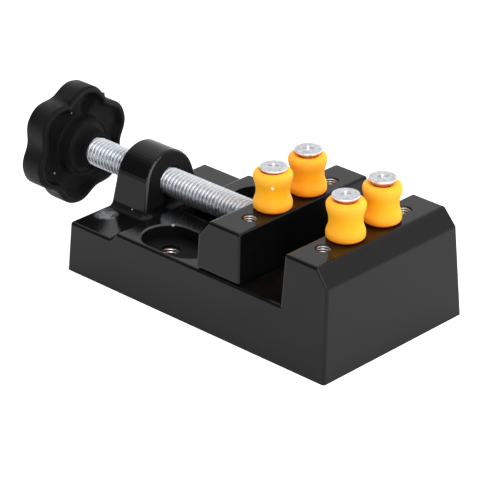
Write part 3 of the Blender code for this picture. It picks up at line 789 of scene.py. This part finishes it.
def build_lead_screw():
    """Rod with a right-hand M10 thread and a plain chamfered nose."""
    start = knob_high.x - turns_in_knob * thread_pitch
    shoulder = jaw_low.x + nose_setback
    tip = screw_high.x
    step = thread_pitch / thread_rings
    count = round((shoulder - start) / step)
    bm = bmesh.new()
    rings = []
    for index in range(count + 1):
        station = start + index * step
        full = max(min(1.0, (shoulder - station) / thread_pitch), 0)
        radii = []
        for side in range(thread_sides):
            phase = (station / thread_pitch + side / thread_sides) % 1.0
            radii.append(thread_radius - thread_depth * (1 - thread_height(phase) * full))
        rings.append(upright_ring(bm, station, radii))
    nose = (
        (shoulder, nose_radius),
        (tip - nose_chamfer, nose_radius),
        (tip, nose_radius - nose_chamfer),
    )
    for station, radius in nose:
        rings.append(upright_ring(bm, station, [radius] * thread_sides))
    for lower, upper in zip(rings, rings[1:]):
        join_rings(bm, lower, upper)
    bm.faces.new(rings[0])
    bm.faces.new(rings[-1])
    thing = piece(
        "threaded_screw", bm, thread_zinc, "screw", smooth_angle=75.0
    )
    thing.data.materials.append(root_shade_zinc)
    # faces deep in the thread take the painted shade
    for face in thing.data.polygons:
        away = math.hypot(face.center.y, face.center.z - screw_level)
        if away < thread_radius - root_shade_depth and face.center.x < shoulder:
            face.material_index = 1
    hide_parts("lead_screw")


build_lead_screw()


# Tapped and drilled holes

def hole_thread(name, place, mouth, run, body, radius, pitch, ridge):
    """Cut thread lining a hole, from just below its mouth down."""
    centre = Vector((*place, 0))
    wall = radius - hole_gap
    step = pitch / hole_rings
    bm = bmesh.new()
    rings = []
    for index in range(round(run / step) + 1):
        level = mouth - index * step
        full = min(1.0, first_ridge_share + index * step / pitch)
        radii = []
        for side in range(hole_sides):
            phase = (level / pitch - side / hole_sides) % 1.0
            radii.append(wall - ridge * full * thread_height(phase))
        rings.append(level_ring(bm, centre, radii, level))
    for lower, upper in zip(rings, rings[1:]):
        join_rings(bm, upper, lower)
    for face in bm.faces:
        face.normal_update()
        inward = centre - face.calc_center_median()
        inward.z = 0
        if face.normal.dot(inward) < 0:
            face.normal_flip()
    mesh = bpy.data.meshes.new(name)
    bm.to_mesh(mesh)
    bm.free()
    mesh.materials.append(bare)
    mesh.materials.append(root)
    # faces deep in the thread's roots take the painted shade
    for face in mesh.polygons:
        away = math.hypot(face.center.x - centre.x, face.center.y - centre.y)
        face.material_index = 1 if away > wall - hole_root_share * ridge else 0
    mesh.shade_smooth()
    thing = bpy.data.objects.new(name, mesh)
    bpy.context.scene.collection.objects.link(thing)
    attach(thing, body)
    return thing


jaws = {
    "moving": (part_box("peg_moving_front"), "jaw"),
    "fixed": (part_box("peg_fixed_front"), "base"),
}
sides = ((-1, "front"), (1, "back"))
for jaw, ((low, high), body) in jaws.items():
    for side, label in sides:
        place = ((low.x + high.x) / 2, side * tapped_line)
        name = f"{jaw}_jaw_thread_{label}"
        mouth = jaw_top - tapped_setback
        hole_thread(name, place, mouth, tapped_run, body, **tapped_hole)
for side, label in sides:
    place = (bench_hole_place[0], side * bench_hole_place[1])
    name = f"bench_hole_{label}"
    mouth = pocket_floor - bench_hole_setback
    hole_thread(name, place, mouth, mouth - base_roof, "base", **bench_hole)


# Pegs and their screws

def peg_profile():
    """Waisted peg: rounded foot and crown, and a countersunk mouth for its screw."""
    foot_radius = 6.07 * MM
    top_radius = 6.1 * MM
    waist_radius = 5.22 * MM
    height = 12.53 * MM
    foot_gap = 0.03 * MM
    foot_round = 1.1 * MM
    crown_round = 1.65 * MM
    foot_level = 1.9 * MM
    waist_level = 6.1 * MM
    crown_level = height - crown_round
    mouth_round = 0.5 * MM
    mouth_radius = 4.15 * MM
    seat_radius = 3.28 * MM
    seat_level = height - 0.62 * MM
    seat_depth = 0.85 * MM
    bore_depth = 3.0 * MM
    foot_sharpness = 1.6
    top_sharpness = 1.15
    steps = 16
    points = [(peg_bore, foot_gap)]
    foot_centre = (foot_radius - foot_round, foot_round + foot_gap)
    points += arc(foot_centre, foot_round, -90, 0, 10)
    for index in range(steps + 1):
        share = index / steps
        swell = ease(share, foot_sharpness)
        radius = waist_radius + (foot_radius - waist_radius) * swell
        points.append((radius, foot_level + (waist_level - foot_level) * share))
    for index in range(1, steps + 1):
        share = index / steps
        swell = ease(1 - share, top_sharpness)
        radius = waist_radius + (top_radius - waist_radius) * swell
        points.append((radius, waist_level + (crown_level - waist_level) * share))
    points += arc((top_radius - crown_round, crown_level), crown_round, 0, 90, 12)[1:]
    points += arc((mouth_radius, height - mouth_round), mouth_round, 90, 115, 3)[1:]
    points.append((seat_radius, seat_level))
    points.append((peg_bore, seat_level - seat_depth))
    points.append((peg_bore, seat_level - bore_depth))
    return points


def build_peg(name, finish, body, slack):
    """Waisted peg, a little off the middle of its screw."""
    low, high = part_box(name)
    centre = Vector(((low.x + high.x) / 2, (low.y + high.y) / 2, low.z - peg_sink))
    bm = lathe(peg_profile(), centre + Vector((*slack, 0)) * MM, peg_sides)
    thing = piece(
        f"{name}_form", bm, finish, body, smooth_angle=40.0
    )
    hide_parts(name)


def recess_cutter(centre, turn):
    """Cross recess: two tapered blades, crossed; the second blade's walls take the near-white
    rim finish as a painted glint.
    """
    bm = bmesh.new()
    for quarter in range(2):
        made = bmesh.ops.create_cube(bm, size=2)["verts"]
        for vertex in made:
            top = vertex.co.z > 0
            vertex.co.x *= recess_reach * (1.0 if top else recess_reach_taper)
            vertex.co.y *= recess_width / 2 * (1.0 if top else recess_width_taper)
            vertex.co.z = recess_top if top else -recess_depth
        for face in {face for vertex in made for face in vertex.link_faces}:
            # material slot 2 is the near-white rim finish: a painted glint in one arm
            face.material_index = 2 if quarter else 0
        spin = Matrix.Rotation(turn + quarter * math.pi / 2, 4, "Z")
        bmesh.ops.transform(bm, matrix=Matrix.Translation(centre) @ spin, verts=made)
    mesh = bpy.data.meshes.new("recess cutter")
    bm.to_mesh(mesh)
    bm.free()
    return bpy.data.objects.new("recess cutter", mesh)


def head_profile(foot, crown):
    """Half section of a countersunk screw from its tip to its crowned head."""
    tip_level = foot + 0.2 * MM
    tip_chamfer = 0.6 * MM
    rim_top = crown - head_crown
    rim_foot = crown - head_edge
    rim_radius = head_radius - head_round
    points = [
        (0, tip_level),
        (shank_radius, tip_level + tip_chamfer),
        (shank_radius, rim_foot - (head_radius - shank_radius)),
        (rim_radius, rim_foot - head_round),
    ]
    points += arc((rim_radius, rim_foot), head_round, -30, 0, 2)
    points += arc((rim_radius, rim_top), head_round, 0, 80, 3)
    for share in (0.75, 0.5, 0.25, 0):
        lift = (head_crown - head_round) * (1 - share ** 2)
        points.append((head_radius * share, rim_top + head_round + lift))
    return points


def build_peg_screw(name, body, turn, slack):
    """Countersunk screw with a crisp rim painted near-white as a highlight, a crowned head and a
    cross recess with a painted glint in one arm.
    """
    low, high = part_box(name)
    centre = Vector(((low.x + high.x) / 2, (low.y + high.y) / 2, 0))
    centre += Vector((*slack, 0)) * MM
    crown = high.z - head_sink
    bm = lathe(head_profile(low.z, crown), centre, head_sides)
    thing = piece(f"{name}_form", bm, zinc, body, smooth_angle=40.0)
    thing.data.materials.append(lightened_cone_zinc)
    thing.data.materials.append(rim_highlight_zinc)
    for face in thing.data.polygons:
        if face.center.z < crown - head_edge - 2 * head_round:
            face.material_index = 1
        elif face.center.z < crown - head_crown:
            face.material_index = 2
    cutter = recess_cutter(centre + Vector((0, 0, crown)), turn)
    bpy.context.scene.collection.objects.link(cutter)
    cut = thing.modifiers.new("cross recess", "BOOLEAN")
    cut.object = cutter
    cut.solver = "EXACT"
    cut.use_self = True
    bpy.context.view_layer.update()
    evaluated = thing.evaluated_get(bpy.context.evaluated_depsgraph_get())
    thing.data = bpy.data.meshes.new_from_object(evaluated)
    thing.modifiers.clear()
    thing.data.set_sharp_from_angle(angle=math.radians(35))
    bpy.data.objects.remove(cutter, do_unlink=True)
    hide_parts(name)


# Each peg's colour, its body and its screw's, the angle of the cross recess in
# degrees, and how far peg and screw stand off the middle in mm
pegs = {
    "moving_front": (yellow, "moving_front_peg", "jaw", 46, (0.05, -0.15), (0.1, 0.15)),
    "moving_back": (
        shaded_yellow, "moving_back_peg", "jaw", 43, (-0.3, -0.25), (-0.2, -0.15)
    ),
    "fixed_front": (yellow, "fixed_front_peg", "base", 45, (-0.15, -0.1), (-0.25, -0.2)),
    "fixed_back": (yellow, "fixed_back_peg", "base", 48, (0.05, -0.02), (0, 0)),
}
for label, (finish, body, screw_body, turn, slack, screw_slack) in pegs.items():
    build_peg(f"peg_{label}", finish, body, slack)
    build_peg_screw(f"peg_screw_{label}", screw_body, math.radians(turn), screw_slack)


# Floor, light and view

def build_floor():
    """White floor that keeps a soft shadow and clips to white elsewhere."""
    bm = bmesh.new()
    bmesh.ops.create_grid(bm, x_segments=1, y_segments=1, size=floor_reach)
    mesh = bpy.data.meshes.new("floor")
    bm.to_mesh(mesh)
    bm.free()
    floor = bpy.data.objects.new("floor", mesh)
    bpy.context.scene.collection.objects.link(floor)
    finish = Finish("floor_white")
    rays = finish.add("ShaderNodeLightPath").outputs
    direct = finish.most(rays["Is Camera Ray"], rays["Is Transmission Ray"])
    mirrored = finish.number("MULTIPLY", rays["Is Glossy Ray"], floor_mirrored_glow)
    glow = finish.number("MULTIPLY_ADD", direct, floor_glow, mirrored)
    shifted = finish.vector("SUBTRACT", finish.place, (base_low + base_high) / 2)
    apart = finish.vector("ABSOLUTE", shifted)
    reach = finish.split(finish.vector("DIVIDE", apart, (base_high - base_low) / 2))
    furthest = finish.most(reach["X"], reach["Y"])
    clear = finish.number("GREATER_THAN", furthest, footprint_share)
    finish.set(
        Base_Color=(*grey(floor_grey), 1),
        Roughness=1.0,
        Specular_IOR_Level=0.0,
        Emission_Color=(1, 1, 1, 1),
        Emission_Strength=finish.number("MULTIPLY", glow, clear),
    )
    mesh.materials.append(finish.material)
    floor.location.z = -floor_drop


def build_world():
    """Pale studio: white behind, with its dark front wall seen only in the gloss."""
    world = bpy.data.worlds.new("studio")
    bpy.context.scene.world = world
    world.use_nodes = True
    graph = Graph(world.node_tree)
    back = graph.tree.nodes["Background"]
    back.inputs["Color"].default_value = (1, 1, 1, 1)
    way = graph.add("ShaderNodeTexCoord").outputs["Generated"]
    rays = graph.add("ShaderNodeLightPath").outputs

    def fade(source, low, high, edge=(0.0, 1.0)):
        return graph.span(source, low, high, *edge, curve="SMOOTHSTEP")

    front = fade(graph.vector("DOT_PRODUCT", way, wall_way), 0.0, 1.0, wall_edge)
    lower = fade(graph.split(way)["Z"], 1.0, 0.0, wall_top)
    wall = fade(graph.number("MULTIPLY", front, lower), 1.0, wall_light)
    towards_box = graph.vector("DOT_PRODUCT", way, softbox_way)
    softbox = fade(towards_box, 0.0, softbox_light, softbox_edge)
    mirrored = graph.number("ADD", wall, softbox)
    direct = graph.most(rays["Is Camera Ray"], rays["Is Transmission Ray"])
    glossy = graph.number("MULTIPLY", rays["Is Glossy Ray"], mirrored)
    fill = graph.number("MULTIPLY", rays["Is Diffuse Ray"], fill_light)
    strength = graph.most(graph.most(direct, glossy), fill)
    graph.link(strength, back.inputs["Strength"])


def lamp(name, place, power):
    """Round soft lamp aimed at the vise, left out of reflections."""
    light = bpy.data.lights.new(name, "AREA")
    light.shape = "DISK"
    light.size = lamp_size
    light.energy = power
    thing = bpy.data.objects.new(name, light)
    thing.location = place
    way = Vector(lamp_aim) - Vector(place)
    thing.rotation_euler = way.to_track_quat("-Z", "Y").to_euler()
    thing.visible_glossy = False
    bpy.context.scene.collection.objects.link(thing)


def build_camera():
    """Long lens from the front right, above the jaws."""
    back = Vector((
        math.sin(view_azimuth) * math.cos(view_elevation),
        -math.cos(view_azimuth) * math.cos(view_elevation),
        math.sin(view_elevation),
    ))
    data = bpy.data.cameras.new("view")
    data.sensor_width = sensor_width
    data.lens = focal_pixels / image_width * sensor_width
    data.clip_end = 20
    camera = bpy.data.objects.new("view", data)
    camera.location = view_aim + back * view_distance
    camera.rotation_euler = (-back).to_track_quat("-Z", "Y").to_euler()
    bpy.context.scene.collection.objects.link(camera)
    bpy.context.scene.camera = camera


build_floor()
build_world()
lamp("key", (0.75, -0.1, 0.8), power=7)
lamp("back", (0.1, 0.8, 0.7), power=4)
build_camera()
bpy.context.scene.view_settings.view_transform = "Standard"
